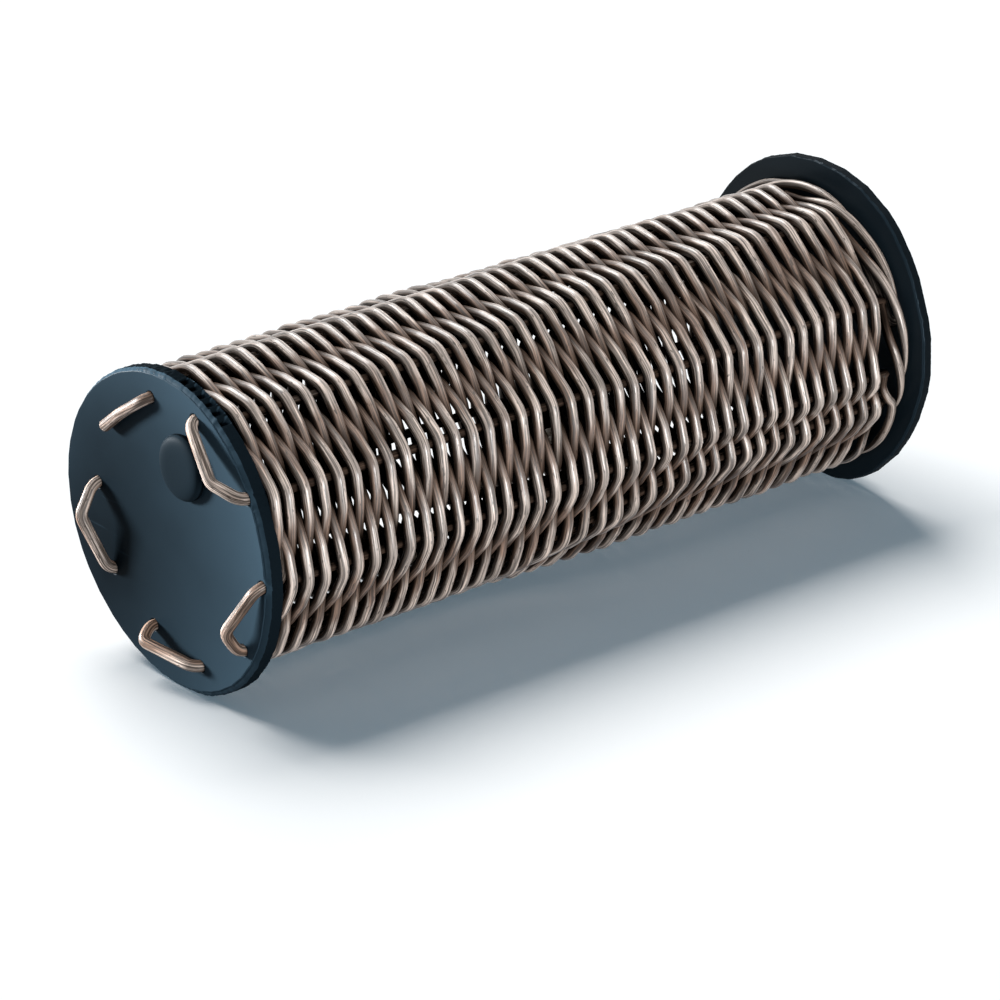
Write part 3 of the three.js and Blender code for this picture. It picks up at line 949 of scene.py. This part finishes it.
def weaver_corners(cane, first, last, parts=3):
    """Corners of a length of weaver, outside every other stake and behind the ones between."""
    corner_share = 0.07
    patch = 13 * MM
    most_sway = math.radians(1.4)
    end_gap = 0.25 * MM
    corner_radius = cane.over_radius + corner_share * cane.bend_radius
    mean = (corner_radius + cane.under_radius) / 2
    depth = (corner_radius - cane.under_radius) / 2

    def corner(step):
        x = row_place(cane, step)
        place = around(stake_angle(step, x), mean, x) / patch
        draw = random.Random(round(step))
        drift = cane.wander * (noise.noise(place) + draw.uniform(-0.5, 0.5))
        lift = cane.wander * (0.7 * noise.noise(place + Vector((40, 0, 0))) + draw.uniform(-0.4, 0.4))
        sway = most_sway * (noise.noise(place + Vector((0, 40, 0))) + draw.uniform(-0.5, 0.5))
        # Goes evenly from -1 behind a stake to 1 outside the next. Behind a stake there is no lift.
        swing = 1 - 2 * abs((step - first) % 2 - 1)
        radius = mean + swing * depth + lift * (1 + swing) / 2
        return around(stake_angle(step, x) + sway, radius, x + drift)

    corners = [corner(first + k / parts) for k in range(parts * (last - first) + 1)]
    corners[0] += end_gap * (corners[1] - corners[0]).normalized()
    corners[-1] += end_gap * (corners[-2] - corners[-1]).normalized()
    return corners


class CAXIXI_OT_weavers(bpy.types.Operator):
    """Weave the tube in one spiral, over one stake and behind the next"""

    bl_idname = "caxixi.weavers"
    bl_label = "Weavers"

    def execute(self, context):
        cane = context.scene.caxixi_cane
        material = cane_material(
            "weaver_cane", cane, tone=0.0, bright=1.12, contrast=1.1, painted_shade_from=36.2 * MM)
        # Each length starts and ends behind a stake, so it takes an even number of steps
        double_steps = (last_step(cane) - FIRST_STEP) / 2
        ends = [FIRST_STEP + 2 * round(double_steps * k / len(WEAVERS)) for k in range(len(WEAVERS) + 1)]
        for number, (name, first, last) in enumerate(zip(WEAVERS, ends, ends[1:])):
            corners = weaver_corners(cane, first, last)
            points = rounded(corners, cane.bend_radius)
            mesh = strand_mesh(
                f"cane_{name}", points, cane.weaver_diameter, seed=50 + number, uneven=0.07)
            add_piece(f"cane_{name}", mesh, material, [name])
        return {"FINISHED"}


class CAXIXI_OT_seeds(bpy.types.Operator):
    """Put the loose seeds in the tube, each on its own body"""

    bl_idname = "caxixi.seeds"
    bl_label = "Seeds"

    def execute(self, context):
        material = seed_material()
        tip_taper = 0.22
        groove_depth, groove_width = 0.1, 0.16
        roughness = 0.03
        for number, name in enumerate(SEEDS):
            low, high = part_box(name)
            size = SEED_SHARE * (high - low) / 2
            bm = bmesh.new()
            bmesh.ops.create_icosphere(bm, subdivisions=4, radius=1.0)
            for vert in bm.verts:
                point = vert.co.copy()
                # One end is drawn to a blunt tip, and a groove runs along the seed
                taper = 1 - tip_taper * max(0.0, point.x) ** 2
                groove = 1 - groove_depth * math.exp(-(point.y / groove_width) ** 2) * max(0.0, point.z)
                uneven = 1 - roughness * (1 + noise.noise(2.2 * point + Vector((number * 9.1, 0, 0))))
                vert.co = Vector((point.x, point.y * taper, point.z * taper * groove)) * uneven
            turn = Matrix.Rotation(random.Random(number).uniform(0, 2 * math.pi), 4, "X")
            bmesh.ops.transform(bm, matrix=turn, verts=bm.verts)
            bmesh.ops.scale(bm, vec=size, verts=bm.verts)
            bmesh.ops.translate(bm, vec=(low + high) / 2, verts=bm.verts)
            mesh = mesh_from(bm, f"loose_{name}")
            add_piece(f"loose_{name}", mesh, material, [name], body=name)
        return {"FINISHED"}


# Stage


def pale_rays(tree):
    """1 for rays that see the background: the camera's, glossy ones and those through glass."""
    path = add_node(tree, "ShaderNodeLightPath")
    seen = math_node(tree, "MAXIMUM", path.outputs["Is Camera Ray"], path.outputs["Is Glossy Ray"])
    return math_node(tree, "MAXIMUM", seen, path.outputs["Is Transmission Ray"])


class CAXIXI_OT_stage(bpy.types.Operator):
    """Set the floor, the lights, the world and the camera"""

    bl_idname = "caxixi.stage"
    bl_label = "Stage"

    def execute(self, context):
        stage = context.scene.caxixi_stage
        context.scene.view_settings.view_transform = "Standard"
        floor = self.add_floor(context, stage)
        self.add_world(context, stage)
        self.add_lights(context, stage, floor)
        self.add_camera(context, stage)
        return {"FINISHED"}

    def add_floor(self, context, stage):
        bm = bmesh.new()
        bmesh.ops.create_grid(bm, x_segments=1, y_segments=1, size=6.0)
        mesh = mesh_from(bm, "floor")
        floor = bpy.data.objects.new("floor", mesh)
        context.scene.collection.objects.link(floor)
        material, tree, shader = new_material("pale_floor", Roughness=0.9, Specular_IOR_Level=0.0)
        # Its bounce on the object is dim, and its shadows are bluish
        dim = (0.4, 0.42, 0.45)
        bluish = (0.56, 0.81, 1.0)
        glow = 0.16
        rays = pale_rays(tree)
        base = mixed(tree, rays, colour(dim), colour(stage.floor))
        tree.links.new(base, shader.inputs["Base Color"])
        shader.inputs["Emission Color"].default_value = colour(bluish)
        lit = math_node(tree, "MULTIPLY", rays, glow)
        tree.links.new(lit, shader.inputs["Emission Strength"])
        mesh.materials.append(material)
        return floor

    def add_world(self, context, stage):
        world = bpy.data.worlds.new("pale_room")
        world.use_nodes = True
        context.scene.world = world
        tree = world.node_tree
        room = tree.nodes["Background"]
        bluish, white = (0.62, 0.83, 1.0), (1.0, 1.0, 1.0)
        room.inputs["Color"].default_value = colour(bluish)
        room.inputs["Strength"].default_value = stage.room_strength
        seen = add_node(tree, "ShaderNodeBackground", {"Color": colour(white), "Strength": 1.0})
        inputs = {0: pale_rays(tree), 1: room.outputs[0], 2: seen.outputs[0]}
        either = add_node(tree, "ShaderNodeMixShader", inputs)
        tree.links.new(either.outputs[0], tree.nodes["World Output"].inputs["Surface"])

    def add_lights(self, context, stage, floor):
        back = self.add_lamp(context, "back_softbox", stage.back_power, 8.0, (0.15, 5.4, 8.4))
        back.data.shape = "RECTANGLE"
        back.data.size_y = 5.7
        side = self.add_lamp(context, "near_side", stage.side_power, 0.35, (-0.22, -1.1, 0.06))
        left = self.add_lamp(context, "left_side", stage.left_power, 0.2, (-0.55, 0.9, 0.16))
        # The side lamp leaves out the floor, which keeps the softbox's shadow.
        # The left one lights the front disc, its plug and its lacing alone.
        unlit = bpy.data.collections.new("not_lit_by_side")
        unlit.objects.link(floor)
        unlit.collection_objects[0].light_linking.link_state = "EXCLUDE"
        side.light_linking.receiver_collection = unlit
        front = bpy.data.collections.new("lit_by_left")
        for name in ("front_disc_sheet", "domed_plug", "front_lace"):
            if name in context.scene.objects:
                front.objects.link(context.scene.objects[name])
        left.light_linking.receiver_collection = front

    def add_lamp(self, context, name, power, size, place):
        """Put a lamp in its place, aimed at the middle of the tube."""
        aim = Vector((0, 0, 0.04))
        light = bpy.data.lights.new(name, "AREA")
        light.energy = power
        light.size = size
        return self.add_aimed(context, light, place, aim - Vector(place))

    def add_aimed(self, context, data, place, direction):
        """Put a lamp or a camera in its place, looking in the direction."""
        made = bpy.data.objects.new(data.name, data)
        made.location = place
        made.rotation_mode = "QUATERNION"
        made.rotation_quaternion = direction.to_track_quat("-Z", "Y")
        context.scene.collection.objects.link(made)
        return made

    def add_camera(self, context, stage):
        camera = bpy.data.cameras.new("photo_view")
        camera.lens = stage.camera_lens
        camera.sensor_width = 36.0
        camera.clip_start = 0.05
        camera.clip_end = 50.0
        azimuth, elevation = stage.camera_azimuth, stage.camera_elevation
        level = math.cos(elevation)
        back = Vector((math.sin(azimuth) * level, -math.cos(azimuth) * level, math.sin(elevation)))
        context.scene.camera = self.add_aimed(context, camera, stage.camera_place, -back)


class CAXIXI_PT_sidebar(bpy.types.Panel):
    """Sizes, colours and makers of the caxixi"""

    bl_idname = "CAXIXI_PT_sidebar"
    bl_label = "Caxixi"
    bl_space_type = "VIEW_3D"
    bl_region_type = "UI"
    bl_category = "Caxixi"

    def draw(self, context):
        for group in GROUPS:
            box = self.layout.box()
            box.label(text=group)
            settings = getattr(context.scene, group)
            for name in settings.bl_rna.properties.keys():
                if name not in ("rna_type", "name"):
                    box.prop(settings, name)
        for operator in MAKERS:
            self.layout.operator(operator.bl_idname)


GROUPS = {
    "caxixi_cane": CaxixiCane,
    "caxixi_discs": CaxixiDiscs,
    "caxixi_stage": CaxixiStage,
}
MAKERS = (
    CAXIXI_OT_front_disc,
    CAXIXI_OT_rear_disc,
    CAXIXI_OT_fill_plug,
    CAXIXI_OT_front_lacing,
    CAXIXI_OT_rear_lacing,
    CAXIXI_OT_stakes,
    CAXIXI_OT_weavers,
    CAXIXI_OT_seeds,
    CAXIXI_OT_stage,
)


def register():
    for group, settings in GROUPS.items():
        bpy.utils.register_class(settings)
        setattr(bpy.types.Scene, group, PointerProperty(type=settings))
    for operator in MAKERS:
        bpy.utils.register_class(operator)
    bpy.utils.register_class(CAXIXI_PT_sidebar)


def unregister():
    bpy.utils.unregister_class(CAXIXI_PT_sidebar)
    for operator in reversed(MAKERS):
        bpy.utils.unregister_class(operator)
    for group, settings in GROUPS.items():
        delattr(bpy.types.Scene, group)
        bpy.utils.unregister_class(settings)


def main():
    register()
    for operator in MAKERS:
        getattr(bpy.ops.caxixi, operator.bl_idname.split(".")[1])()


if __name__ == "__main__":
    main()
